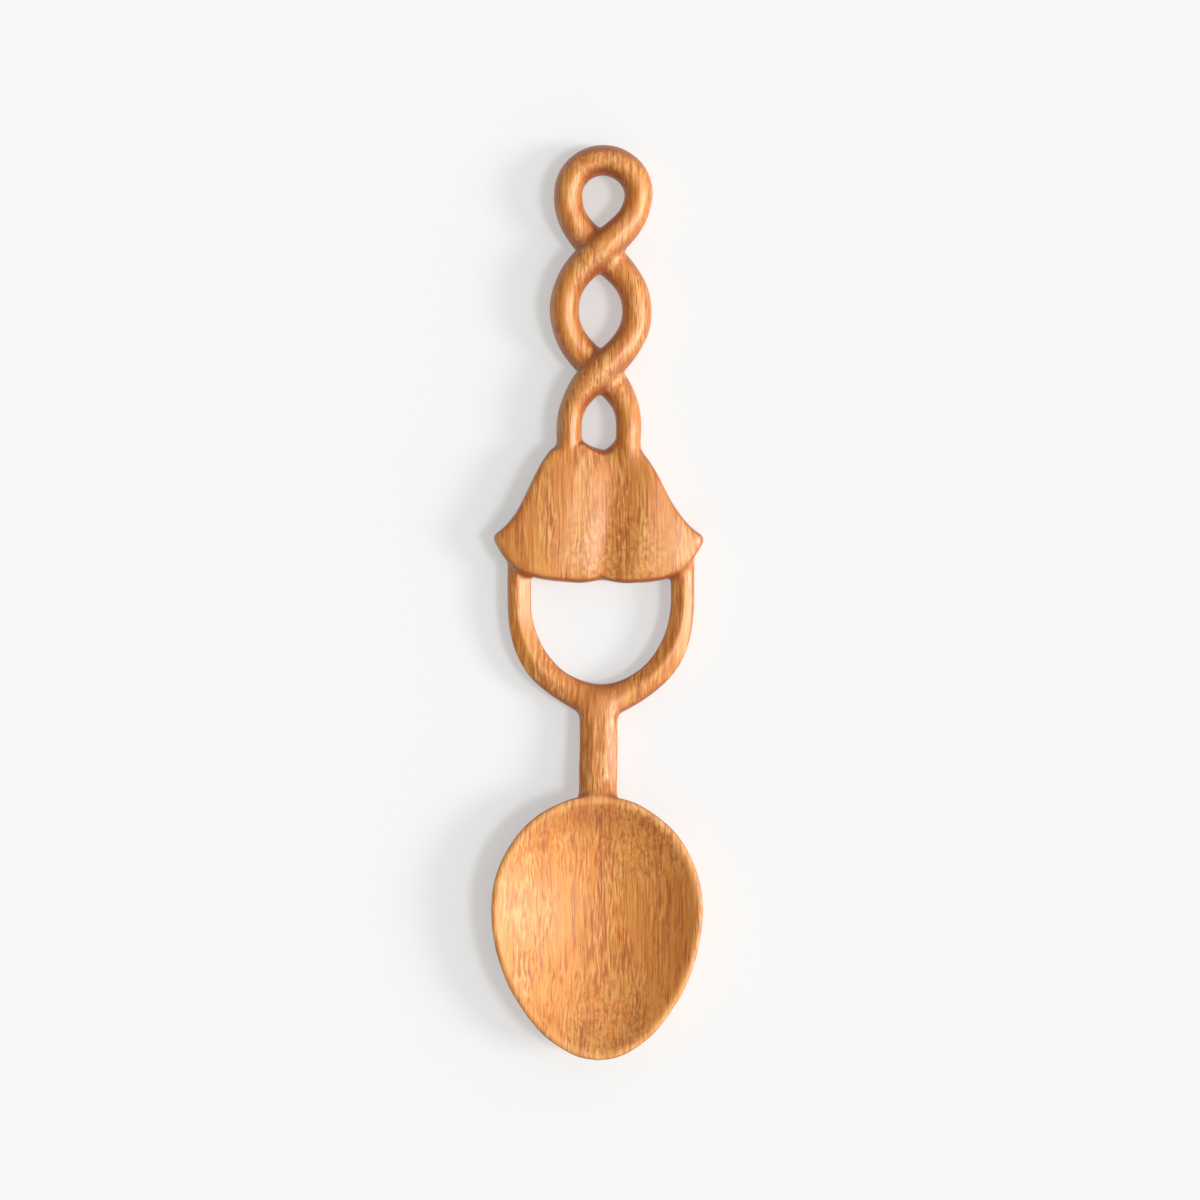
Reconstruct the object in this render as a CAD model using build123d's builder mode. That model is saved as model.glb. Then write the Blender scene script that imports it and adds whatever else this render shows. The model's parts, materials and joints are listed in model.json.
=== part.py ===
from build123d import *

import os
from math import cos, radians, sin

# Carved love spoon: an egg-shaped bowl, a short stem, a horseshoe loop, twin bells and a
# two-strand twist that closes in a hanging loop. It lies on its back on the table, with X
# across it, Y from the bowl's tip to the hanging loop, and Z up to the carved front.

# The board that the spoon is carved from
blank_thickness = 12.0

# Bowl: an egg in plan, with its widest line nearer to the neck
bowl_width = 56.2
bowl_tip_reach = 39.7
bowl_neck_reach = 30.4
bowl_tip_fullness = 0.5
bowl_tip_shift = 0.6
bowl_depth = 9.0
bowl_hollow_steepness = 1.0
bowl_back_steepness = 0.6
bowl_rest_width = 12.0
bowl_floor_width = 4.0
bowl_section_shares = (0.25, 0.4, 0.6, 0.78, 0.9, 0.97, 1.0)
rim_width = 2.0
rim_round = 0.4

# Stem between the bowl's neck and the loop's outer bottom
stem_length = 19.9
stem_width = 9.9
stem_depth = 7.6
stem_round = 2.6
stem_rise = 2.2
stem_loop_bite = 6.0
stem_bowl_bite = 9.0

# Horseshoe loop: straight legs around a half ellipse, drawn out to a keel where the stem joins it
loop_gap_width = 36.8
loop_gap_drop = 22.2
loop_leg_width = 6.1
loop_drop = 31.0
loop_flank_drop = 22.8
loop_haunch_half_width = 12.1
loop_haunch_drop = 25.4
loop_keel_drop = 33.2
loop_keel_round = 8.0
loop_depth = 6.6
loop_back_height = 1.4
loop_round = 2.7
loop_leg_length = 4.4
loop_leg_bite = 8.0
loop_shift = 0.25

# Twin bells, leaning apart, with a valley between them
bell_height = 35.4
bell_thickness = 11.5
bell_shoulder_half_width = 11.3
bell_shoulder_slope = 1.0
bell_waist_half_width = 19.1
bell_waist_drop = 13.1
bell_flare_half_width = 28.0
bell_flare_height = 12.0
bell_flare_slope = 1.8
bell_heel_inset = 4.0
bell_heel_height = 5.4
bell_heel_tilt = 0.5
bell_heel_slope = 0.5
bell_lip_height = 1.5
bell_lobe_half_width = 8.6
bell_lobe_shift = 1.2
bell_notch_height = 0.9
bell_notch_slope = 0.25
bell_crown_dip = 1.8
bell_crown_shift = -1.4
bell_waist_shift = -1.0
bell_flare_shift = -0.45
bell_ridge_shift = -1.25
bell_valley_top = 3.8
bell_valley_foot = 0.9
bell_ridge_top = 9.25
bell_ridge_foot = 14.25
bell_cross_radius = 60.0
bell_length_radius = 110.0
bell_flank_width = 8.5
bell_flank_depth = 2.0
bell_flank_margin = 2.0
bell_flare_round = 1.6
bell_edge_round = 1.2
bell_back_round = 0.8

# Two-strand twist above the bells
twist_leg_length = 20.2
twist_leg_rise = 14.5
twist_pitch = 31.5
twist_ring_rise = 14.75
twist_fullness = 0.04
twist_sway = (-0.65, -0.35, -0.5, -0.9, 0.0)
leg_spread = 7.8
leg_width = 6.6
leg_bite = 6.0
leg_dive = 1.2
crossing_width = 8.8
link_spread = 9.55
link_width = 7.7
ring_spread = 9.25
ring_width = 7.4
arch_rise = 9.0
arch_width = 8.1
strand_depth = 9.0
strand_stations = 17
arch_stations = 7

# Stations along the spoon, from the bowl's tip upwards, centred on the origin
loop_half_width = loop_gap_width / 2 + loop_leg_width
bowl_length = bowl_tip_reach + bowl_neck_reach
handle_length = stem_length + loop_drop + loop_leg_length + bell_height
twist_length = twist_leg_length + twist_pitch + twist_ring_rise + arch_rise + arch_width / 2
tip_y = -(bowl_length + handle_length + twist_length) / 2
widest_y = tip_y + bowl_tip_reach
neck_y = widest_y + bowl_neck_reach
loop_bottom_y = neck_y + stem_length
loop_centre_y = loop_bottom_y + loop_drop
lip_y = loop_centre_y + loop_leg_length
shoulder_y = lip_y + bell_height
low_crossing_y = shoulder_y + twist_leg_length
high_crossing_y = low_crossing_y + twist_pitch
ring_y = high_crossing_y + twist_ring_rise

# Levels above the table
middle_z = blank_thickness / 2
strand_swing = (blank_thickness - strand_depth) / 2


def egg(half_width, neck_reach, tip_reach):
    """Egg outline about its widest line: half an ellipse to the neck, a tapered end to the tip."""
    fullness = bowl_tip_fullness
    tip_x = bowl_tip_shift * half_width / (bowl_width / 2)
    with BuildSketch() as outline:
        with BuildLine():
            EllipticalCenterArc((0, 0), half_width, neck_reach, 0, arc_size=180)
            for side in (-1, 1):
                Bezier(
                    (side * half_width, 0),
                    (side * half_width, -fullness * tip_reach),
                    (tip_x + side * fullness * half_width, -tip_reach),
                    (tip_x, -tip_reach),
                )
        make_face()
    return outline.sketch


def dish(width, neck_reach, tip_reach, steepness, floor_width, floor_z, top_z):
    """Solid dish from a small flat floor up to the rim's plane, lofted through egg outlines.

    Its sides are parabolas at a steepness of 1, and stand upright at the rim below that."""

    def level(share):
        return 1 - (1 - share**2) ** steepness

    floor_share = floor_width / width
    with BuildPart() as solid:
        for share in (floor_share, *bowl_section_shares):
            rise = (level(share) - level(floor_share)) / (1 - level(floor_share))
            section_z = floor_z + rise * (top_z - floor_z)
            with BuildSketch(Plane((0, widest_y, section_z))):
                add(egg(share * width / 2, share * neck_reach, share * tip_reach))
        loft()
    return solid.part


# Bowl, first as the solid blank that the stem is fitted to
bowl_blank = dish(
    bowl_width,
    bowl_neck_reach,
    bowl_tip_reach,
    bowl_back_steepness,
    bowl_rest_width,
    0,
    blank_thickness,
)
hollow = dish(
    bowl_width - 2 * rim_width,
    bowl_neck_reach - rim_width,
    bowl_tip_reach - rim_width,
    bowl_hollow_steepness,
    bowl_floor_width,
    blank_thickness - bowl_depth,
    blank_thickness,
)

with BuildPart() as bowl:
    add(bowl_blank)
    add(hollow, mode=Mode.SUBTRACT)
    fillet(bowl.faces().sort_by(Axis.Z)[-1].edges(), radius=rim_round)
bowl.part.label = "bowl"


# Horseshoe loop, cut to the bells further down
loop_top_y = lip_y + loop_leg_bite
with BuildPart() as loop_blank:
    with BuildSketch(Plane((loop_shift, loop_centre_y, loop_back_height))):
        with BuildLine():
            for side in (-1, 1):
                Bezier(
                    (side * loop_half_width, 0),
                    (side * loop_half_width, -loop_flank_drop),
                    (side * loop_haunch_half_width, -loop_haunch_drop),
                    (0, -loop_keel_drop),
                )
            Polyline(
                (loop_half_width, 0),
                (loop_half_width, loop_top_y - loop_centre_y),
                (-loop_half_width, loop_top_y - loop_centre_y),
                (-loop_half_width, 0),
            )
        make_face()
        fillet(vertices().sort_by(Axis.Y)[0], radius=loop_keel_round)
        with BuildLine():
            EllipticalCenterArc((0, 0), loop_gap_width / 2, loop_gap_drop, 180, arc_size=180)
            Polyline(
                (loop_gap_width / 2, 0),
                (loop_gap_width / 2, loop_top_y - loop_centre_y),
                (-loop_gap_width / 2, loop_top_y - loop_centre_y),
                (-loop_gap_width / 2, 0),
            )
        make_face(mode=Mode.SUBTRACT)
    extrude(amount=loop_depth)
    front_and_back = loop_blank.faces().filter_by(Axis.Z).edges()
    leg_middle_y = lip_y + loop_leg_bite / 2
    fillet(front_and_back.filter_by(lambda edge: edge.center().Y < leg_middle_y), radius=loop_round)


# Bells
valley_top = Vector(bell_valley_top, shoulder_y - bell_crown_dip)
valley_foot = Vector(bell_valley_foot, lip_y + bell_notch_height)


def bell(side):
    """One bell of the pair, side -1 on the left and 1 on the right, with a domed front."""
    shoulder_x = side * bell_shoulder_half_width + bell_crown_shift
    waist_x = side * bell_waist_half_width + bell_waist_shift
    flare = (side * bell_flare_half_width + bell_flare_shift, lip_y + bell_flare_height)
    heel_x = side * (bell_flare_half_width - bell_heel_inset)
    lip_x = side * loop_gap_width / 2
    with BuildPart() as one_bell:
        with BuildSketch():
            with BuildLine():
                Spline(
                    (shoulder_x, shoulder_y),
                    (waist_x, shoulder_y - bell_waist_drop),
                    flare,
                    tangents=[(side * bell_shoulder_slope, -1), (side * bell_flare_slope, -1)],
                )
                Spline(
                    flare,
                    (heel_x, lip_y + bell_heel_height + side * bell_heel_tilt),
                    (lip_x, lip_y + bell_lip_height),
                    (side * bell_lobe_half_width + bell_lobe_shift, lip_y),
                    valley_foot,
                    tangents=[(-side * bell_heel_slope, -1), (-side, bell_notch_slope)],
                )
                Polyline(valley_foot, valley_top, (shoulder_x, shoulder_y))
            make_face()
            tip = vertices().sort_by(Axis.X)[-1 if side > 0 else 0]
            fillet(tip, radius=bell_flare_round)
        extrude(amount=blank_thickness)

        # The dome is part of a barrel whose axis lies under the bell's ridge line
        crown = Vector(side * bell_ridge_top + bell_ridge_shift, shoulder_y)
        mouth = Vector(side * bell_ridge_foot + bell_ridge_shift, lip_y)
        ridge = (crown - mouth).normalized()
        barrel_z = bell_thickness - bell_cross_radius
        centre = (crown + mouth) / 2 + Vector(0, 0, barrel_z)
        reach = bell_height
        belly_drop = bell_length_radius - (bell_length_radius**2 - reach**2) ** 0.5
        with BuildSketch(Plane(centre, x_dir=ridge, z_dir=ridge.cross(Vector(0, 0, 1)))):
            with BuildLine():
                ThreePointArc(
                    (-reach, bell_cross_radius - belly_drop),
                    (0, bell_cross_radius),
                    (reach, bell_cross_radius - belly_drop),
                )
                Polyline(
                    (reach, bell_cross_radius - belly_drop),
                    (reach, 0),
                    (-reach, 0),
                    (-reach, bell_cross_radius - belly_drop),
                )
            make_face()
        revolve(axis=Axis(centre, ridge), mode=Mode.INTERSECT)
        valley_x = (bell_valley_top + bell_valley_foot) / 2
        front = one_bell.faces().sort_by(Axis.Z)[-1].edges()
        outer = lambda edge: side * (edge.center().X - valley_x) > bell_edge_round
        fillet(front.filter_by(outer), radius=bell_edge_round)
        back = one_bell.faces().sort_by(Axis.Z)[0].edges()
        fillet(back.filter_by(outer), radius=bell_back_round)
    return one_bell


left_bell = bell(-1)
left_bell.part.label = "left_bell"

# The right bell's inner flank falls to the valley, along the same bow as the bells' fronts
with BuildPart() as flank:
    along = (valley_top - valley_foot).normalized()
    across = along.cross(Vector(0, 0, 1))
    valley_middle = (valley_top + valley_foot) / 2
    past_width = bell_flank_width + bell_flank_margin
    past_rise = bell_flank_margin * bell_flank_depth / bell_flank_width
    with BuildSketch(Plane(valley_middle, x_dir=across, z_dir=-along)):
        with BuildLine():
            Polyline(
                (-bell_flank_margin, bell_thickness - bell_flank_depth - past_rise),
                (past_width, bell_thickness + past_rise),
                (-bell_flank_margin, bell_thickness + past_rise),
                close=True,
            )
        make_face()
    bow_centre = valley_middle + Vector(0, 0, bell_thickness - bell_length_radius)
    revolve(axis=Axis(bow_centre, across))

with BuildPart() as right_bell:
    add(bell(1).part)
    add(flank.part, mode=Mode.SUBTRACT)
right_bell.part.label = "right_bell"

# Stem, lofted from the loop's foot to the bowl's neck, let into the loop and fitted to the bowl
with BuildPart() as stem:
    for section_y, climb in (
        (loop_bottom_y + stem_loop_bite, 0),
        (loop_bottom_y, 0),
        (neck_y, 1),
        (neck_y - stem_bowl_bite, 1),
    ):
        section_z = loop_back_height + loop_depth / 2 + climb * stem_rise
        with BuildSketch(Plane((0, section_y, section_z), x_dir=(1, 0, 0), z_dir=(0, -1, 0))):
            RectangleRounded(stem_width, stem_depth, stem_round)
    loft(ruled=True)
    add(bowl_blank, mode=Mode.SUBTRACT)
stem.part.label = "stem"

with BuildPart() as horseshoe_loop:
    add(loop_blank.part)
    add([left_bell.part, right_bell.part, stem.part], mode=Mode.SUBTRACT)
horseshoe_loop.part.label = "horseshoe_loop"


# Twist: each strand rises from its bell, crosses in front at one crossing and behind at the other
def quarter_turns(y):
    """Quarter turns of the twist from the legs' widest station up to a height along the spoon."""
    if y < low_crossing_y:
        return max(0, 1 + (y - low_crossing_y) / twist_leg_rise)
    if y < high_crossing_y:
        return 1 + 2 * (y - low_crossing_y) / twist_pitch
    return 3 + (y - high_crossing_y) / twist_ring_rise


def between(values, turns):
    """Value at a number of quarter turns, between the values set at whole ones."""
    index = min(int(turns), len(values) - 2)
    return values[index] + (values[index + 1] - values[index]) * (turns - index)


def strand_width(y):
    """Width of a strand: slim on the legs, fuller on the links and fullest at the crossings."""
    turns = quarter_turns(y)
    side_width = (leg_width, link_width, link_width, ring_width, ring_width)[int(turns)]
    return side_width + (crossing_width - side_width) * sin(radians(90 * turns)) ** 4


def strand_point(side, y):
    """Centre of a strand at a height along the spoon, winding as the strands of a rope do."""
    turns = quarter_turns(y)
    angle = radians(90 * turns)
    spread = (leg_spread, link_spread, link_spread, ring_spread, ring_spread)[int(turns)]
    wave = (cos(angle) - twist_fullness * cos(3 * angle)) / (1 - twist_fullness)
    lift = strand_swing * sin(angle) * abs(sin(angle))
    dive = leg_dive * max(0, shoulder_y - y) / leg_bite
    return Vector(side * spread * wave + between(twist_sway, turns), y, middle_z - side * lift - dive)


def strand(side):
    """Strand whose leg stands on the bell of that side, up to the ring's centre line."""
    root_y = shoulder_y - leg_bite
    step = (ring_y - root_y) / (strand_stations - 1)
    with BuildPart() as one_strand:
        for station in range(strand_stations):
            y = root_y + station * step
            along = Vector(0, 1, 0)
            if station < strand_stations - 1:
                along = strand_point(side, y + step / 8) - strand_point(side, y - step / 8)
            across = along.cross(Vector(0, 0, 1))
            with BuildSketch(Plane(strand_point(side, y), x_dir=across, z_dir=along)):
                Ellipse(strand_width(y) / 2, strand_depth / 2)
        loft()
    return one_strand


left_blank = strand(-1)
right_blank = strand(1)
between_crossings = Plane.XZ.offset(-(low_crossing_y + high_crossing_y) / 2)

with BuildPart() as left_strand:
    add(left_blank.part)
    add([left_bell.part, right_bell.part], mode=Mode.SUBTRACT)
    add(split(right_blank.part, between_crossings, Keep.BOTTOM, mode=Mode.PRIVATE), mode=Mode.SUBTRACT)
left_strand.part.label = "left_strand"

with BuildPart() as right_strand:
    add(right_blank.part)
    add([left_bell.part, right_bell.part], mode=Mode.SUBTRACT)
    add(split(left_blank.part, between_crossings, Keep.TOP, mode=Mode.PRIVATE), mode=Mode.SUBTRACT)
right_strand.part.label = "right_strand"

with BuildPart() as hanging_loop:
    for station in range(arch_stations):
        share = station / (arch_stations - 1)
        angle = radians(180 * share)
        width = ring_width + (arch_width - ring_width) * sin(angle)
        centre = Vector(ring_spread * cos(angle), ring_y + arch_rise * sin(angle), middle_z)
        along = Vector(-ring_spread * sin(angle), arch_rise * cos(angle), 0)
        with BuildSketch(Plane(centre, x_dir=along.cross(Vector(0, 0, 1)), z_dir=along)):
            Ellipse(width / 2, strand_depth / 2)
    loft()
hanging_loop.part.label = "hanging_loop"


os.makedirs("parts", exist_ok=True)
for piece in (bowl, stem, horseshoe_loop, left_bell, right_bell, left_strand, right_strand, hanging_loop):
    export_step(piece.part, f"parts/{piece.part.label}.step")
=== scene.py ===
import json
from math import cos, radians, sin, tan

import bmesh
import bpy
import numpy as np
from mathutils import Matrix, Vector
from mathutils.bvhtree import BVHTree

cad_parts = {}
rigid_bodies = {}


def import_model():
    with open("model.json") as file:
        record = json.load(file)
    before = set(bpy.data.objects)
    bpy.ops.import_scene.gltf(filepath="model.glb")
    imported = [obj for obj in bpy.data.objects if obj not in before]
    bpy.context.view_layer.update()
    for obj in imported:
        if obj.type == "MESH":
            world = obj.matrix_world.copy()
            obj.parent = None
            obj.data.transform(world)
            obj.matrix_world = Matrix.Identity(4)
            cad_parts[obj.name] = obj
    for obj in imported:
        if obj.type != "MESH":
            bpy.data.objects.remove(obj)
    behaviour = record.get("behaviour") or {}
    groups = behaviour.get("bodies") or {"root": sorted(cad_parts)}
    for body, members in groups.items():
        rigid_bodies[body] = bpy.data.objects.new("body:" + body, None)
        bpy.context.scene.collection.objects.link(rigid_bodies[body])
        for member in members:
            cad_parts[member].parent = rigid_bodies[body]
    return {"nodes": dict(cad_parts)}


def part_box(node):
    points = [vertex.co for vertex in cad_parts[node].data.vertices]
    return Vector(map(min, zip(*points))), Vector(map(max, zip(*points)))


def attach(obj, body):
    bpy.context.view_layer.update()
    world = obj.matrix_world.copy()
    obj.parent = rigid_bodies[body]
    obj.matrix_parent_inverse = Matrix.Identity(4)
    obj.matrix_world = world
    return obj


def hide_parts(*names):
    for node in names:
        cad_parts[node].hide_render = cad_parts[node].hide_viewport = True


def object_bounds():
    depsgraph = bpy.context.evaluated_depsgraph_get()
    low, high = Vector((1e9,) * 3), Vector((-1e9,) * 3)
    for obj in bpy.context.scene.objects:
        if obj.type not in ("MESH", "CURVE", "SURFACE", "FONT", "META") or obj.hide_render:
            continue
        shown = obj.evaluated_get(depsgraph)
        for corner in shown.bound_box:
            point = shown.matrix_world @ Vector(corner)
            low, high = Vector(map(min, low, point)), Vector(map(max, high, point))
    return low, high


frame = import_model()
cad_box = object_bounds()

# A carved love spoon, lying on its back on a pale table. Sizes are in millimetres unless a line says
# otherwise, with X across the spoon, Y from the bowl's tip to the hanging loop and Z up to the front.
MM = 0.001

# Carving: one skin over all CAD solids, whose inner corners are rounded as a knife leaves them. They are
# crisp at most joints and soft at these spots, given by centre and reach across and along the spoon. All
# rounds of filling are due in a spot's core, which is a share of its reach
CELL = 0.4
SMOOTH_RATE = 0.5
EVEN_ROUNDS = 3
FILLET_ROUNDS = 6
SOFT_CORE = 0.4
SOFT_SPOTS = {
    "upper eye, foot": {"centre": (0.3, 97.5), "reach": (7, 7), "rounds": 220},
    "upper crossing, right": {"centre": (4.5, 89.0), "reach": (9, 8), "rounds": 260},
    "middle eye, head": {"centre": (0.0, 86.0), "reach": (7, 7), "rounds": 200},
    "middle eye, foot": {"centre": (0.0, 66.5), "reach": (7, 7), "rounds": 220},
    "lower crossing, right": {"centre": (4.5, 57.5), "reach": (9, 8), "rounds": 260},
    "lower eye, head": {"centre": (1.0, 54.0), "reach": (7, 7), "rounds": 200},
    "lower eye, left corner": {"centre": (-3.5, 42.0), "reach": (9, 9), "rounds": 700},
    "lower eye, right corner": {"centre": (5.0, 41.0), "reach": (9, 9), "rounds": 300},
    "valley": {"centre": (2.3, 23.0), "reach": (10, 40), "rounds": 70},
    "stem head": {"centre": (0.0, -30.0), "reach": (18, 10), "rounds": 110},
    "neck": {"centre": (0.0, -49.0), "reach": (14, 9), "rounds": 400},
}

# Some front edges are worn round between two places along the spoon: not at all below the first height and
# in full above the second. The wear goes right across, unless a half width is given
WHOLE_HALF_WIDTH = 40.0
WORN_EDGES = {
    "bells": {"heights": (6.0, 9.0), "places": (5.0, 40.0), "fade": 4.0, "rounds": 30},
    "stem head": {"heights": (4.5, 6.0), "places": (-27.0, -22.5), "fade": 3.0, "rounds": 60},
    "loop ridge": {"heights": (6.3, 7.2), "places": (-27.0, 3.0), "fade": 2.0, "rounds": 14},
    "rim": {"heights": (9.5, 11.0), "places": (-122.0, -53.0), "fade": 3.0, "rounds": 30},
    "neck": {"heights": (8.0, 10.0), "places": (-51.0, -47.0), "half_width": 4.0, "fade": 2.0, "rounds": 60},
}

# The stem's front corners are pared to facets that fall from a flat middle, and run out towards its ends.
# Slopes of facets are in degrees
FACET_HALF_WIDTH = 1.9
FACET_SLOPE = 32.0
FACET_REACHES = (6.0, 7.0)
FACET_PLACES = (-47.0, -33.0)
FACET_FADE = 3.0

# The lower eye's foot is cut to a slanted point: its floor climbs from there to the left and to the right,
# by a slope at first and a growth of that slope for each millimetre
EYE_FOOT = (0.75, 39.5)
EYE_SLOPES = (0.28, 0.20)
EYE_GROWTHS = (0.03, 0.20)
EYE_CLIMB = 2.8
EYE_REACH = 7.0
EYE_HALF_WIDTH = 5.5
EYE_FADE = 3.0

# The horseshoe loop's front is cut to two facets, which fall from a ridge to its inner and its outer edge.
# The loop's opening has a half width and a depth below its centre, and its very core is left unmeasured. The
# ridge's distance from the opening is given at the left and at the right leg. The cut starts a margin inside
# the opening, and the other pairs say from where to where it fades
LOOP_CENTRE = (0.25, 1.0)
LOOP_GAP = (18.4, 22.2)
LOOP_GAP_CORE = 0.1
LOOP_MARGIN = 1.0
LOOP_REACHES = (8.0, 9.5)
LOOP_TOP_PLACES = (6.0, 9.0)
RIDGE_HEIGHT = 8.0
RIDGE_FADE = 0.5
RIDGE_REACHES = (3.7, 3.5)
RIDGE_SLOPE = 28.0
RIDGE_STEM_PLACES = (5.0, 9.0)

# Unevenness that a hand leaves: waves of these lengths, in all directions
HAND_WAVES = 36
HAND_WAVE_LENGTHS = (7.0, 20.0)
HAND_WAVE_HEIGHT = 0.05
HAND_SEED = 11

# Hollows, which the wood's colour darkens as painted shade, are found against a more smoothed skin
HOLLOW_ROUNDS = 60
HOLLOW_DEPTH = 0.22

# Seams between the pieces. The right bell reaches a little past the valley, clear of the strand beside it
SEAM_REACH = {"right_bell": 0.8}
SEARCH_REACH = 3.0
LABEL_ROUNDS = 6
OWN_VOTE = 1.5
SEAM_ROUNDS = 12
SEAM_RINGS = (0.5, 0.85)

# Camera over the middle of the view, whose width is taken at the height of the carving's upper edges. The
# roll is in radians
FRAME_WIDTH = 314.8
FRAME_HEIGHT = 7.0
CAMERA_AIM = (0.05, 0.66)
CAMERA_HEIGHT = 1200.0
CAMERA_ROLL = 0.0092
SENSOR_WIDTH = 36.0

# Light: a soft room, brighter towards the right by a share, and two soft lamps on that side. Levels are
# shares of the light on the floor, angles are in degrees
ROOM_LEVEL = 0.475
ROOM_LEAN = 0.65
ROOM_COLOR = (1, 1, 1, 1)
LAMPS = (
    {"name": "high_lamp", "level": 0.28, "azimuth": -12, "elevation": 62, "width": 12},
    {"name": "low_lamp", "level": 0.25, "azimuth": -6, "elevation": 29, "width": 18},
)
FLOOR_COLOR = (0.925, 0.94, 0.935, 1)
FLOOR_GLOW = 0.43
FLOOR_SIZE = 40000.0

# Wood: growth rings stand upright in the board, about a pith far to its left, and the grain runs along Y.
# Angles about the pith count as lengths at a radius
PITH = (-150.0, 8.0)
PITH_RADIUS = 60.0
RIM_PLACES = (-51.0, -47.0)

# Noises of the wood, by the size of their blotches. Those of the grain have it across the rings, along the
# board and round the rings, and the others across, along and up
NOISE_MEAN = (0.5, 0.5, 0.5)
NOISES = {
    "wander": {"size": (26, 80, 26), "detail": 2.0, "roughness": 0.5},
    "squirm": {"size": (3, 9, 3), "detail": 1.0, "roughness": 0.5},
    "bands": {"size": (6.0, 220, 50), "detail": 3.0, "roughness": 0.55},
    "streaks": {"size": (2.0, 90, 7.0), "detail": 3.0, "roughness": 0.6},
    "fibres": {"size": (0.48, 34, 0.9), "detail": 3.0, "roughness": 0.6},
    "dashes": {"size": (0.42, 5, 0.55), "detail": 1.0, "roughness": 0.5},
    "clusters": {"size": (6, 26, 6), "detail": 1.0, "roughness": 0.5},
    "cloud": {"size": (34, 52, 34), "detail": 2.0, "roughness": 0.5},
    "curl": {"size": (0.9, 1.5, 0.9), "detail": 1.0, "roughness": 0.5},
}
WANDER_REACH = (5, 0, 5)
SQUIRM_REACH = (1.2, 0, 1.2)

# Colours are linear. Growth bands run from dark to pale wood, and the bowl is painted paler as painted light
# that lifts the shade inside it
BAND_COLORS = (
    (0.30, (0.61, 0.150, 0.013, 1)),
    (0.45, (0.73, 0.232, 0.025, 1)),
    (0.57, (0.77, 0.265, 0.031, 1)),
    (0.72, (0.83, 0.335, 0.048, 1)),
)
# Painted light: share and colour that lighten the whole bowl against the shade its walls cast
BOWL_PAINTED_LIGHT_SHARE = 0.55
BOWL_PAINTED_LIGHT_COLOR = (0.95, 0.345, 0.048, 1)

# Stains and painted light over the bands: none of a colour at the first level of what calls for it, and a
# share at the second
STAINS_AND_PAINTED_LIGHT = {
    "cloud": {"levels": (0.40, 0.70), "share": 0.30, "color": (0.67, 0.205, 0.020, 1)},
    "dark streaks": {"levels": (0.48, 0.32), "share": 0.50, "color": (0.50, 0.104, 0.010, 1)},
    "pale streaks": {"levels": (0.52, 0.68), "share": 0.45, "color": (0.86, 0.400, 0.080, 1)},
    "pale fibres": {"levels": (0.52, 0.66), "share": 0.65, "color": (0.90, 0.470, 0.120, 1)},
    "dark fibres": {"levels": (0.48, 0.34), "share": 0.75, "color": (0.46, 0.086, 0.008, 1)},
    "pale dashes": {"levels": (0.53, 0.65), "share": 0.60, "color": (0.94, 0.580, 0.200, 1)},
    "dark dashes": {"levels": (0.47, 0.37), "share": 0.60, "color": (0.42, 0.076, 0.008, 1)},
    "pale flecks": {"levels": (0.55, 0.70), "share": 1.00, "color": (0.90, 0.460, 0.140, 1)},
    "dark flecks": {"levels": (0.45, 0.30), "share": 1.00, "color": (0.40, 0.100, 0.014, 1)},
    # Painted shade: surfaces that tilt away from up are darkened as if in shade
    "painted side shade": {"levels": (0.92, 0.55), "share": 0.36, "color": (0.42, 0.072, 0.006, 1)},
    "end grain": {"levels": (0.25, 0.75), "share": 0.80, "color": (0.32, 0.058, 0.008, 1)},
    # Painted shade: hollows and creases darkened where shade falls in them
    "hollows": {"levels": (0.15, 1.00), "share": 0.40, "color": (0.30, 0.060, 0.009, 1)},
    # Partly wear and partly painted highlight: the bowl rim's edges are made paler
    "worn rim and painted highlight": {"levels": (-0.45, -1.00), "share": 0.12, "color": (0.93, 0.540, 0.200, 1)},
}

# Dashes of pores come in clusters, with a share of them left between
CLUSTER_LEVELS = (0.40, 0.62)
CLUSTER_SHARES = (0.25, 1.0)

# Curled figure shows where the knife crossed the grain, in full in a spot's core, a share of its reach
FIGURE_STRENGTH = 0.6
FIGURE_CORE = 0.4
FIGURE_SPOTS = {
    "bowl, by the neck": {"centre": (14, -60, 9), "reach": 18},
    "bells": {"centre": (4, 12, 10), "reach": 20},
    "lower crossing": {"centre": (0, 56, 9), "reach": 9},
    "upper crossing": {"centre": (-1, 88, 9), "reach": 9},
    "hanging loop": {"centre": (0, 113, 7), "reach": 11},
    "bowl, tip": {"centre": (4, -110, 8), "reach": 16},
}

# Oil finish: rougher in the bowl than on what hands have polished, over a slight relief of the grain
GLOSS_LEVELS = (0.3, 0.7)
GLOSS_ROUGHNESS = (0.38, 0.46)
BOWL_ROUGHNESS = 0.10
FIBRE_RELIEF = 0.6
DASH_RELIEF = 0.4
RELIEF_STRENGTH = 0.5
RELIEF_DEPTH = 0.08
OIL_IOR = 1.55
OIL_SPECULAR = 1.0
OIL_TINT = (1.0, 0.93, 0.82, 1)


# Skin of the carving
def neighbour_mean(points, edges):
    """Mean of the points that share an edge with each point."""
    count = len(points)
    ends = np.concatenate([edges[:, 0], edges[:, 1]])
    others = np.concatenate([edges[:, 1], edges[:, 0]])
    sums = [np.bincount(ends, points[others, axis], count) for axis in range(3)]
    return np.stack(sums, axis=1) / np.maximum(np.bincount(ends, minlength=count), 1)[:, None]


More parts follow.
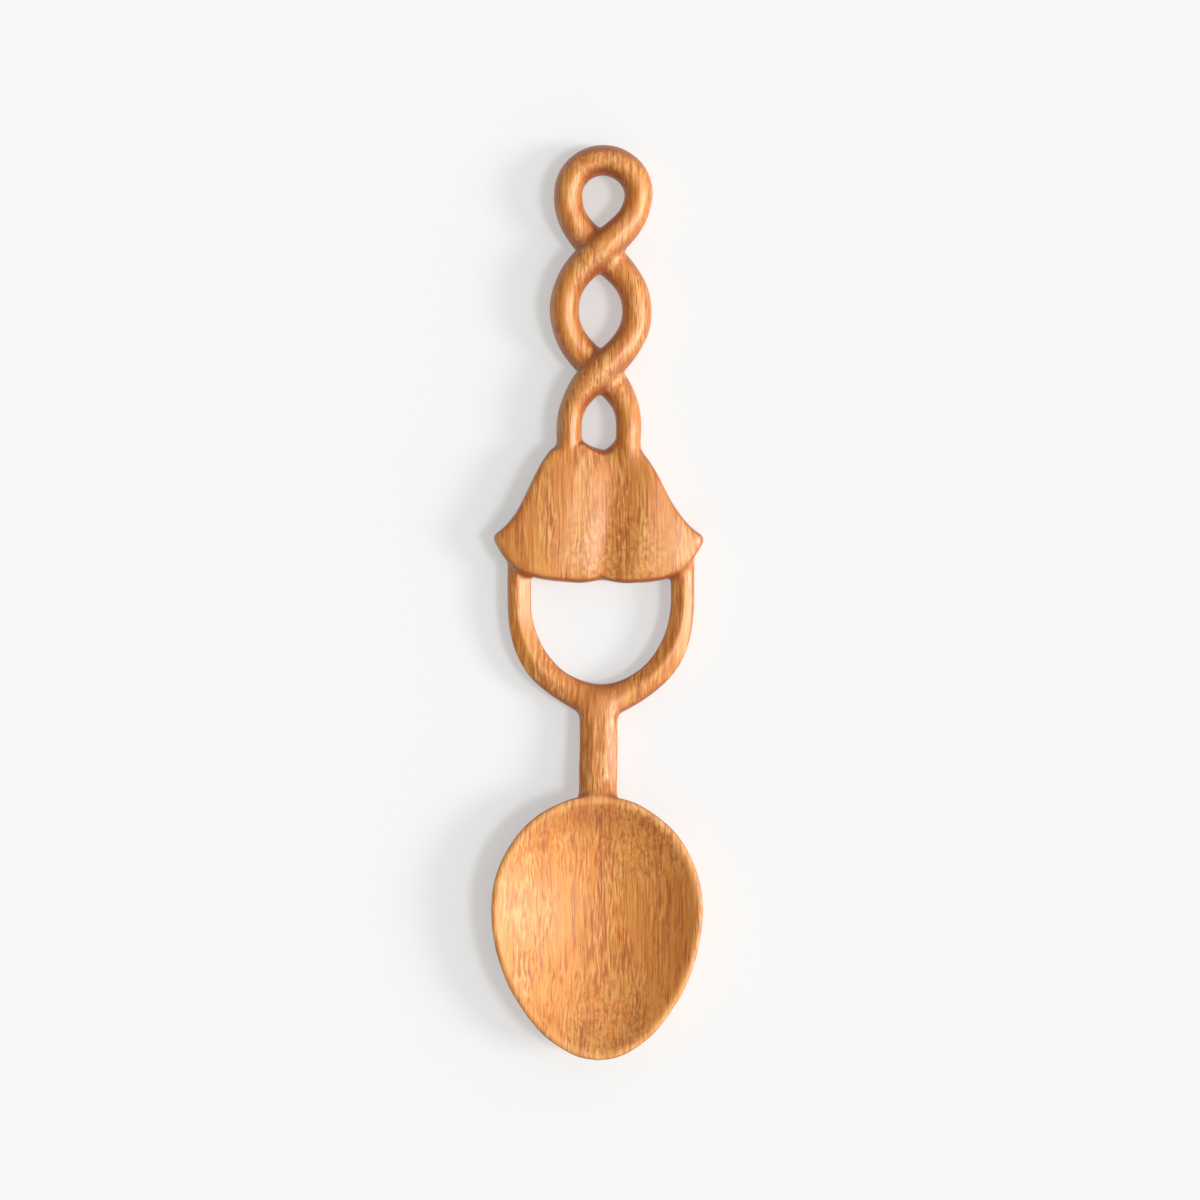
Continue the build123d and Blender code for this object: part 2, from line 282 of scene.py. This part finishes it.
def point_normals(points, quads):
    """Unit normal at each point of a skin of quads."""
    diagonals = points[quads[:, 2]] - points[quads[:, 0]]
    other_diagonals = points[quads[:, 3]] - points[quads[:, 1]]
    corners = quads.ravel()
    spread = np.repeat(np.cross(diagonals, other_diagonals), 4, axis=0)
    sums = [np.bincount(corners, spread[:, axis], len(points)) for axis in range(3)]
    normals = np.stack(sums, axis=1)
    return normals / np.linalg.norm(normals, axis=1)[:, None]


def smoothed(points, edges, rounds):
    """Points drawn towards their neighbours, so that steps and edges soften."""
    for _ in range(rounds):
        points = points + SMOOTH_RATE * (neighbour_mean(points, edges) - points)
    return points


def ramp(values, low, high):
    """Share of the way from low to high, held between 0 and 1."""
    return np.clip((values - low) / (high - low), 0, 1)


def between(values, low, high, fade):
    """Share 1 from low to high, which runs out over the fade beyond them."""
    return ramp(values, low - fade, low) * ramp(values, high + fade, high)


def filleted(points, edges, normals, rounds):
    """Points moved outwards only, as many rounds as are due at each, so that inner corners fill."""
    for done in range(int(np.max(rounds))):
        rise = np.sum((neighbour_mean(points, edges) - points) * normals, axis=1)
        step = SMOOTH_RATE * np.maximum(rise, 0) * ramp(rounds - done, 0, 1)
        points = points + step[:, None] * normals
    return points


def softened(points, quads, edges, spot):
    """Points with the inner corners round one spot filled in a wide sweep."""
    distance = np.linalg.norm((points[:, :2] - spot["centre"]) / spot["reach"], axis=1)
    near = distance < 1
    index = np.cumsum(near) - 1
    local_edges = index[edges[near[edges].all(axis=1)]]
    rounds = spot["rounds"] * ramp(distance[near], 1, SOFT_CORE)
    points = points.copy()
    points[near] = filleted(points[near], local_edges, point_normals(points, quads)[near], rounds)
    return points


def worn(points, edges, stretch):
    """Points with the front edges of one stretch rounded, and all that lies lower left as it is."""
    half_width = stretch.get("half_width", WHOLE_HALF_WIDTH)
    share = ramp(points[:, 2], *stretch["heights"])
    share = share * between(points[:, 1], *stretch["places"], stretch["fade"])
    share = share * between(points[:, 0], -half_width, half_width, stretch["fade"])
    for _ in range(stretch["rounds"]):
        points = points + SMOOTH_RATE * share[:, None] * (neighbour_mean(points, edges) - points)
    return points


def cut_down(points, surface, share):
    """Points that stand above a cut's surface brought down towards it, by a share of the way."""
    points = points.copy()
    points[:, 2] -= share * np.maximum(points[:, 2] - surface, 0)
    return points


def pared_stem(points):
    """Points with the stem's front corners cut down to flat facets."""
    across = np.abs(points[:, 0])
    along = points[:, 1]
    share = between(along, *FACET_PLACES, FACET_FADE) * ramp(across, *reversed(FACET_REACHES))
    spine = points[(across < CELL) & (points[:, 2] > points[:, 2].max() / 2)]
    spine = spine[np.argsort(spine[:, 1])]
    front = np.interp(along, spine[:, 1], spine[:, 2])
    facet = front - tan(radians(FACET_SLOPE)) * np.maximum(across - FACET_HALF_WIDTH, 0)
    return cut_down(points, facet, share)


def slanted_eye(points):
    """Points with the floor of the lower eye drawn up at both sides of its foot."""
    beside = np.abs(points[:, 0] - EYE_FOOT[0])
    on_left = points[:, 0] < EYE_FOOT[0]
    slope = np.where(on_left, *EYE_SLOPES) + np.where(on_left, *EYE_GROWTHS) * beside
    climb = np.minimum(slope * beside, EYE_CLIMB)
    away = np.abs(points[:, 1] - EYE_FOOT[1])
    share = ramp(away, EYE_REACH, 0) * ramp(beside, EYE_HALF_WIDTH + EYE_FADE, EYE_HALF_WIDTH)
    points = points.copy()
    points[:, 1] += share * climb
    return points


def ridged_loop(points):
    """Points with the loop's front cut to an inner and an outer facet, the outer one clear of the stem."""
    across, along = (points[:, :2] - LOOP_CENTRE).T
    below = np.minimum(along, 0)
    scaled = np.hypot(across / LOOP_GAP[0], below / LOOP_GAP[1])
    reach = np.hypot(across, below) * (1 - 1 / np.maximum(scaled, LOOP_GAP_CORE))
    beyond = reach - np.interp(across, (-LOOP_GAP[0], LOOP_GAP[0]), RIDGE_REACHES)
    facet = RIDGE_HEIGHT - tan(radians(RIDGE_SLOPE)) * np.abs(beyond)
    share = np.where(beyond > 0, ramp(np.abs(across), *RIDGE_STEM_PLACES), 1)
    share = share * (reach > -LOOP_MARGIN) * ramp(reach, *reversed(LOOP_REACHES))
    share = share * ramp(points[:, 1], *reversed(LOOP_TOP_PLACES))
    share = share * ramp(points[:, 2], RIDGE_HEIGHT + RIDGE_FADE, RIDGE_HEIGHT)
    return cut_down(points, facet, share)


def hand_waves(points):
    """Small rise or fall at each point, from many slow waves in random directions."""
    draw = np.random.RandomState(HAND_SEED)
    total = np.zeros(len(points))
    for _ in range(HAND_WAVES):
        direction = draw.normal(size=3)
        direction /= np.linalg.norm(direction)
        length = draw.uniform(*HAND_WAVE_LENGTHS)
        phase = draw.uniform(0, 2 * np.pi)
        total += np.sin(points @ direction * 2 * np.pi / length + phase)
    return HAND_WAVE_HEIGHT * total / np.sqrt(HAND_WAVES / 2)


def solid_skin(nodes):
    """Points and quads of one even skin over the joined solids."""
    joined = bmesh.new()
    for node in nodes.values():
        joined.from_mesh(node.data)
    mesh = bpy.data.meshes.new("blank")
    joined.to_mesh(mesh)
    joined.free()
    blank = bpy.data.objects.new("blank", mesh)
    bpy.context.scene.collection.objects.link(blank)
    remesh = blank.modifiers.new("skin", "REMESH")
    remesh.mode = "VOXEL"
    remesh.voxel_size = CELL * MM
    evaluated = blank.evaluated_get(bpy.context.evaluated_depsgraph_get())
    skin = bpy.data.meshes.new_from_object(evaluated)
    points = np.empty(len(skin.vertices) * 3)
    skin.vertices.foreach_get("co", points)
    quads = np.empty(len(skin.loops), np.int64)
    skin.loops.foreach_get("vertex_index", quads)
    for item in (blank, mesh, skin):
        bpy.data.batch_remove([item])
    return points.reshape(-1, 3) / MM, quads.reshape(-1, 4)


def within_cad_box(points):
    """Points held inside the box of the CAD part."""
    return np.clip(points, np.array(cad_box[0]) / MM, np.array(cad_box[1]) / MM)


def carved_skin(nodes):
    """Points, quads, edges and the two quads beside each edge, of the carving as the knife left it."""
    points, quads = solid_skin(nodes)
    sides = np.stack([quads, np.roll(quads, -1, axis=1)], axis=2).reshape(-1, 2)
    edges, edge_of_side = np.unique(np.sort(sides, axis=1), axis=0, return_inverse=True)
    beside = np.argsort(edge_of_side.ravel(), kind="stable").reshape(-1, 2) // 4
    points = smoothed(points, edges, EVEN_ROUNDS)
    points = pared_stem(points)
    points = slanted_eye(points)
    points = ridged_loop(points)
    for stretch in WORN_EDGES.values():
        points = worn(points, edges, stretch)
    points = filleted(points, edges, point_normals(points, quads), np.full(len(points), FILLET_ROUNDS))
    for spot in SOFT_SPOTS.values():
        points = softened(points, quads, edges, spot)
    points = points + hand_waves(points)[:, None] * point_normals(points, quads)
    return within_cad_box(points), quads, edges, beside


def hollows(points, quads, edges):
    """How far each point lies in a hollow, 0 to 1, or stands on an edge, 0 to -1."""
    broad = smoothed(points, edges, HOLLOW_ROUNDS)
    depth = np.sum((broad - points) * point_normals(points, quads), axis=1)
    return np.clip(depth / HOLLOW_DEPTH, -1, 1)


# Pieces
def nearest_nodes(centres, nodes):
    """Index of the CAD node that each point lies nearest to."""
    distances = np.full((len(centres), len(nodes)), np.inf)
    for index, (name, node) in enumerate(nodes.items()):
        corners = [vertex.co / MM for vertex in node.data.vertices]
        tree = BVHTree.FromPolygons(corners, [face.vertices for face in node.data.polygons])
        low, high = (np.array(corner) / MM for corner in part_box(name))
        near = np.all((centres > low - SEARCH_REACH) & (centres < high + SEARCH_REACH), axis=1)
        for row in np.flatnonzero(near):
            *_, distance = tree.find_nearest(centres[row])
            distances[row, index] = distance - SEAM_REACH.get(name, 0)
    return distances.argmin(axis=1)


def without_islands(labels, beside, count):
    """Labels after each quad has taken what most of its neighbours have."""
    own = np.arange(len(labels))
    for _ in range(LABEL_ROUNDS):
        votes = np.zeros((len(labels), count))
        np.add.at(votes, (beside[:, 0], labels[beside[:, 1]]), 1)
        np.add.at(votes, (beside[:, 1], labels[beside[:, 0]]), 1)
        votes[own, labels] += OWN_VOTE
        labels = votes.argmax(axis=1)
    return labels


def straight_seams(points, quads, seam_edges):
    """Points with the seams drawn into smooth lines that stay on the skin."""
    normals = point_normals(points, quads)
    on_seam, ends = np.unique(seam_edges, return_inverse=True)
    local = ends.reshape(-1, 2)
    two_ended = np.bincount(local.ravel()) == 2
    for _ in range(SEAM_ROUNDS):
        shift = SMOOTH_RATE * (neighbour_mean(points[on_seam], local) - points[on_seam])
        shift -= np.sum(shift * normals[on_seam], axis=1)[:, None] * normals[on_seam]
        points[on_seam[two_ended]] += shift[two_ended]
    return within_cad_box(points)


def seam_loops(piece):
    """Closed loops of points round each open seam of a piece."""
    ahead = {}
    for edge in piece.edges:
        if edge.is_boundary:
            corner = edge.link_loops[0]
            ahead[corner.link_loop_next.vert] = corner.vert
    while ahead:
        start, point = ahead.popitem()
        loop = [start]
        while point is not start:
            loop.append(point)
            point = ahead.pop(point)
        yield loop


def close_seam(piece, loop):
    """Rings of faces from a seam in to its middle."""
    middle = sum((point.co for point in loop), Vector()) / len(loop)
    outer = loop
    for share in SEAM_RINGS:
        inner = [piece.verts.new(point.co.lerp(middle, share)) for point in loop]
        for i in range(len(loop)):
            piece.faces.new((outer[i - 1], outer[i], inner[i], inner[i - 1]))
        outer = inner
    hub = piece.verts.new(middle)
    for i in range(len(loop)):
        piece.faces.new((outer[i - 1], outer[i], hub))


def closed_mesh(name, points, quads):
    """Mesh of one carved element, closed at the seams where it was parted from the others."""
    piece = bmesh.new()
    verts = [piece.verts.new(point) for point in points * MM]
    for quad in quads:
        piece.faces.new([verts[corner] for corner in quad])
    piece.edges.ensure_lookup_table()
    for loop in list(seam_loops(piece)):
        close_seam(piece, loop)
    mesh = bpy.data.meshes.new(name)
    piece.to_mesh(mesh)
    piece.free()
    return mesh


def shade_as_skin(mesh, corner_normals, depths):
    """Shading and hollows of the whole skin, which the mesh has first, and flat faces inside the seams."""
    mesh.shade_smooth()
    face_normals = np.empty(len(mesh.polygons) * 3)
    mesh.polygons.foreach_get("normal", face_normals)
    corner_counts = np.empty(len(mesh.polygons), np.int64)
    mesh.polygons.foreach_get("loop_total", corner_counts)
    normals = np.repeat(face_normals.reshape(-1, 3), corner_counts, axis=0)
    normals[: len(corner_normals)] = corner_normals
    mesh.normals_split_custom_set(normals)
    hollow = np.zeros(len(mesh.vertices), np.float32)
    hollow[: len(depths)] = depths
    mesh.attributes.new("hollow", "FLOAT", "POINT").data.foreach_set("value", hollow)


def carved_piece(name, skin_normals, skin_hollows, points, quads):
    """Closed mesh object of one carved element, shaded as part of the whole skin."""
    used, corners = np.unique(quads, return_inverse=True)
    mesh = closed_mesh(f"carved_{name}", points[used], corners.reshape(-1, 4))
    shade_as_skin(mesh, skin_normals[quads.ravel()], skin_hollows[used])
    carved = bpy.data.objects.new(f"carved_{name}", mesh)
    bpy.context.scene.collection.objects.link(carved)
    return carved


# Materials
class Wiring:
    """Short calls for adding and joining shader nodes."""

    def __init__(self, tree):
        self.tree = tree
        tree.nodes.clear()

    def node(self, kind, *values, **settings):
        """New node, with its inputs set or linked in order, and None for an input left as it is."""
        node = self.tree.nodes.new(kind)
        for key, value in settings.items():
            setattr(node, key, value)
        for socket, value in zip(node.inputs, values):
            self.put(socket, value)
        return node

    def put(self, socket, value):
        """Input linked to a socket, or set to a value."""
        if isinstance(value, bpy.types.NodeSocket):
            self.tree.links.new(value, socket)
        elif value is not None:
            socket.default_value = value

    def math(self, operation, *values):
        """Number worked out from numbers."""
        return self.node("ShaderNodeMath", *values, operation=operation).outputs[0]

    def vector(self, operation, *values):
        """Vector worked out from vectors."""
        return self.node("ShaderNodeVectorMath", *values, operation=operation).outputs[0]

    def noise_node(self, place, size, detail, roughness):
        """Noise whose blotches have this size in millimetres along the three axes."""
        scaled = self.vector("DIVIDE", place, size)
        return self.node("ShaderNodeTexNoise", scaled, None, 1.0, detail, roughness)

    def noise(self, place, name):
        """Level of a named noise at a place."""
        return self.noise_node(place, **NOISES[name]).outputs["Fac"]

    def sway(self, place, name, reach):
        """Shift to and fro over a reach, as a named noise has it at a place."""
        color = self.noise_node(place, **NOISES[name]).outputs["Color"]
        return self.vector("MULTIPLY", self.vector("SUBTRACT", color, NOISE_MEAN), reach)

    def ranged(self, value, low, high, to_low, to_high):
        """Value carried smoothly from one range to another and held at its ends."""
        node = self.node("ShaderNodeMapRange", value, low, high, to_low, to_high)
        node.interpolation_type = "SMOOTHSTEP"
        return node.outputs[0]

    def mixed(self, share, first, second):
        """First colour with a share of the second. A mix has its colours after its numbers and vectors."""
        node = self.node("ShaderNodeMix", share, data_type="RGBA", blend_type="MIX")
        self.put(node.inputs[6], first)
        self.put(node.inputs[7], second)
        return node.outputs[2]

    def marked(self, color, name, value, extent=1.0):
        """Colour under a named mark of stain, grain or painted light, as strong as a value calls for and
        within an extent.
        """
        mark = STAINS_AND_PAINTED_LIGHT[name]
        share = self.ranged(value, *mark["levels"], 0, mark["share"])
        return self.mixed(self.math("MULTIPLY", extent, share), color, mark["color"])

    def ramp(self, value, stops):
        """Colour that a value picks between stops."""
        node = self.node("ShaderNodeValToRGB", value)
        elements = node.color_ramp.elements
        while len(elements) < len(stops):
            elements.new(1.0)
        for element, (position, color) in zip(elements, stops):
            element.position = position
            element.color = color
        return node.outputs[0]


def grain_place(wire, place):
    """Place in the board's grain, across its rings, along it and round its rings, which wander a little."""
    wandered = wire.vector("ADD", place, wire.sway(place, "wander", WANDER_REACH))
    x, y, z = wire.node("ShaderNodeSeparateXYZ", wandered).outputs
    across = wire.math("SUBTRACT", x, PITH[0])
    above = wire.math("SUBTRACT", z, PITH[1])
    squares = [wire.math("MULTIPLY", side, side) for side in (across, above)]
    ring = wire.math("SQRT", wire.math("ADD", *squares))
    around = wire.math("MULTIPLY", wire.math("ARCTAN2", above, across), PITH_RADIUS)
    return wire.node("ShaderNodeCombineXYZ", ring, y, around).outputs[0]


def banded_color(wire, place, grain, in_bowl):
    """Growth bands under broad clouds, painted paler in the bowl as painted light, with streaks along the
    grain.
    """
    color = wire.ramp(wire.noise(grain, "bands"), BAND_COLORS)
    color = wire.marked(color, "cloud", wire.noise(place, "cloud"))
    # Painted light: the bowl is lightened to lift the shade inside it
    color = wire.mixed(wire.math("MULTIPLY", in_bowl, BOWL_PAINTED_LIGHT_SHARE), color, BOWL_PAINTED_LIGHT_COLOR)
    streaks = wire.noise(grain, "streaks")
    color = wire.marked(color, "dark streaks", streaks)
    return wire.marked(color, "pale streaks", streaks)


def pored_color(wire, color, place, fibres, dashes):
    """Colour with pale and dark fibres, and with short dashes of pores that come in clusters."""
    clusters = wire.ranged(wire.noise(place, "clusters"), *CLUSTER_LEVELS, *CLUSTER_SHARES)
    color = wire.marked(color, "pale fibres", fibres)
    color = wire.marked(color, "dark fibres", fibres)
    color = wire.marked(color, "pale dashes", dashes, clusters)
    return wire.marked(color, "dark dashes", dashes, clusters)


def figured_color(wire, color, place, curled_place):
    """Colour with curled figure, in short crooked flecks."""
    figure = 0.0
    for spot in FIGURE_SPOTS.values():
        away = wire.node("ShaderNodeVectorMath", place, spot["centre"], operation="DISTANCE")
        core = FIGURE_CORE * spot["reach"]
        strength = wire.ranged(away.outputs["Value"], core, spot["reach"], FIGURE_STRENGTH, 0)
        figure = wire.math("MAXIMUM", figure, strength)
    curl = wire.noise(curled_place, "curl")
    color = wire.marked(color, "pale flecks", curl, figure)
    return wire.marked(color, "dark flecks", curl, figure)


def oiled_and_painted_light_color(wire, color, in_bowl):
    """Colour with painted shade on steep sides and in hollows, dark end grain, and the rim worn pale under a
    painted highlight.
    """
    normal = wire.node("ShaderNodeTexCoord").outputs["Normal"]
    _, lengthwise, upright = wire.node("ShaderNodeSeparateXYZ", normal).outputs
    hollow = wire.node("ShaderNodeAttribute", attribute_name="hollow").outputs["Fac"]
    # Painted shade: steep sides darkened by how far their normal tilts from up
    color = wire.marked(color, "painted side shade", wire.math("ABSOLUTE", upright))
    color = wire.marked(color, "end grain", wire.math("ABSOLUTE", lengthwise))
    # Painted shade in hollows and creases
    color = wire.marked(color, "hollows", hollow)
    # Rim edges paler, partly as wear and partly as a painted highlight
    return wire.marked(color, "worn rim and painted highlight", hollow, in_bowl)


def oiled_wood():
    """Golden brown wood with an oil finish: growth bands, fibres, pale and dark pores, dark end grain, with
    painted shade, a painted highlight and painted light in its colour.
    """
    material = bpy.data.materials.new("oiled_wood")
    material.use_nodes = True
    wire = Wiring(material.node_tree)
    metres = wire.node("ShaderNodeTexCoord").outputs["Object"]
    place = wire.vector("DIVIDE", metres, (MM, MM, MM))
    _, along, _ = wire.node("ShaderNodeSeparateXYZ", place).outputs
    in_bowl = wire.ranged(along, *RIM_PLACES, 1, 0)

    # Fibres squirm a little, so that the streaks they leave aren't straight
    squirm = wire.sway(place, "squirm", SQUIRM_REACH)
    grain = grain_place(wire, place)
    fine_grain = wire.vector("ADD", grain, squirm)
    fibres = wire.noise(fine_grain, "fibres")
    dashes = wire.noise(fine_grain, "dashes")
    color = banded_color(wire, place, grain, in_bowl)
    color = pored_color(wire, color, place, fibres, dashes)
    color = figured_color(wire, color, place, wire.vector("ADD", place, squirm))
    color = oiled_and_painted_light_color(wire, color, in_bowl)

    gloss = wire.ranged(fibres, *GLOSS_LEVELS, *GLOSS_ROUGHNESS)
    roughness = wire.math("ADD", gloss, wire.math("MULTIPLY", in_bowl, BOWL_ROUGHNESS))
    fibre_relief = wire.math("MULTIPLY", fibres, FIBRE_RELIEF)
    relief = wire.math("ADD", fibre_relief, wire.math("MULTIPLY", dashes, DASH_RELIEF))
    bump = wire.node("ShaderNodeBump", RELIEF_STRENGTH, RELIEF_DEPTH * MM)
    wire.put(bump.inputs["Height"], relief)

    shader = wire.node("ShaderNodeBsdfPrincipled")
    wire.put(shader.inputs["Base Color"], color)
    wire.put(shader.inputs["Roughness"], roughness)
    wire.put(shader.inputs["Normal"], bump.outputs[0])
    shader.inputs["IOR"].default_value = OIL_IOR
    shader.inputs["Specular IOR Level"].default_value = OIL_SPECULAR
    shader.inputs["Specular Tint"].default_value = OIL_TINT
    wire.node("ShaderNodeOutputMaterial", shader.outputs[0])
    return material


# Stage
def plain_floor():
    """Pale table top, far wider than any view, whose shadows are lightened by a share of glow."""
    bpy.ops.mesh.primitive_plane_add(size=FLOOR_SIZE * MM)
    floor = bpy.context.object
    floor.name = "floor"
    material = bpy.data.materials.new("pale_table")
    material.use_nodes = True
    wire = Wiring(material.node_tree)
    path = wire.node("ShaderNodeLightPath").outputs
    seen_indirectly = wire.math("ADD", path["Is Glossy Ray"], path["Is Transmission Ray"])
    seen = wire.math("ADD", path["Is Camera Ray"], seen_indirectly)
    matt = wire.node("ShaderNodeBsdfDiffuse", FLOOR_COLOR).outputs[0]
    glow = wire.node("ShaderNodeEmission", FLOOR_COLOR, 1.0).outputs[0]
    both = wire.node("ShaderNodeMixShader", wire.math("MULTIPLY", seen, FLOOR_GLOW), matt, glow)
    wire.node("ShaderNodeOutputMaterial", both.outputs[0])
    floor.data.materials.append(material)


def soft_light():
    """Room light and two lamps whose widths soften their shadows."""
    world = bpy.data.worlds.new("room")
    world.use_nodes = True
    wire = Wiring(world.node_tree)
    direction = wire.node("ShaderNodeTexCoord").outputs["Generated"]
    rightness = wire.node("ShaderNodeSeparateXYZ", direction).outputs[0]
    level = wire.ranged(rightness, -1, 1, ROOM_LEVEL * (1 - ROOM_LEAN), ROOM_LEVEL * (1 + ROOM_LEAN))
    background = wire.node("ShaderNodeBackground", ROOM_COLOR, level)
    wire.node("ShaderNodeOutputWorld", background.outputs[0])
    bpy.context.scene.world = world
    for lamp in LAMPS:
        azimuth = radians(lamp["azimuth"])
        elevation = radians(lamp["elevation"])
        towards = Vector((cos(elevation) * cos(azimuth), cos(elevation) * sin(azimuth), sin(elevation)))
        light = bpy.data.lights.new(lamp["name"], "SUN")
        light.energy = lamp["level"] * np.pi / sin(elevation)
        light.angle = radians(lamp["width"])
        holder = bpy.data.objects.new(lamp["name"], light)
        holder.rotation_euler = towards.to_track_quat("Z", "Y").to_euler()
        bpy.context.scene.collection.objects.link(holder)


def overhead_camera():
    """Camera straight above, turned so that the spoon leans as it does in the photograph."""
    lens = bpy.data.cameras.new("camera")
    lens.sensor_width = SENSOR_WIDTH
    lens.lens = SENSOR_WIDTH * (CAMERA_HEIGHT - FRAME_HEIGHT) / FRAME_WIDTH
    camera = bpy.data.objects.new("camera", lens)
    camera.location = (CAMERA_AIM[0] * MM, CAMERA_AIM[1] * MM, CAMERA_HEIGHT * MM)
    camera.rotation_euler = (0, 0, CAMERA_ROLL)
    bpy.context.scene.collection.objects.link(camera)
    bpy.context.scene.camera = camera


nodes = frame["nodes"]
points, quads, edges, beside = carved_skin(nodes)
labels = nearest_nodes(points[quads].mean(axis=1), nodes)
labels = without_islands(labels, beside, len(nodes))
seams = labels[beside[:, 0]] != labels[beside[:, 1]]
skin_normals = point_normals(points, quads)
skin_hollows = hollows(points, quads, edges)
points = straight_seams(points, quads, edges[seams])

wood = oiled_wood()
for index, name in enumerate(nodes):
    piece = carved_piece(name, skin_normals, skin_hollows, points, quads[labels == index])
    piece.data.materials.append(wood)
    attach(piece, "root")
    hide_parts(name)

plain_floor()
soft_light()
overhead_camera()
bpy.context.scene.view_settings.view_transform = "Standard"
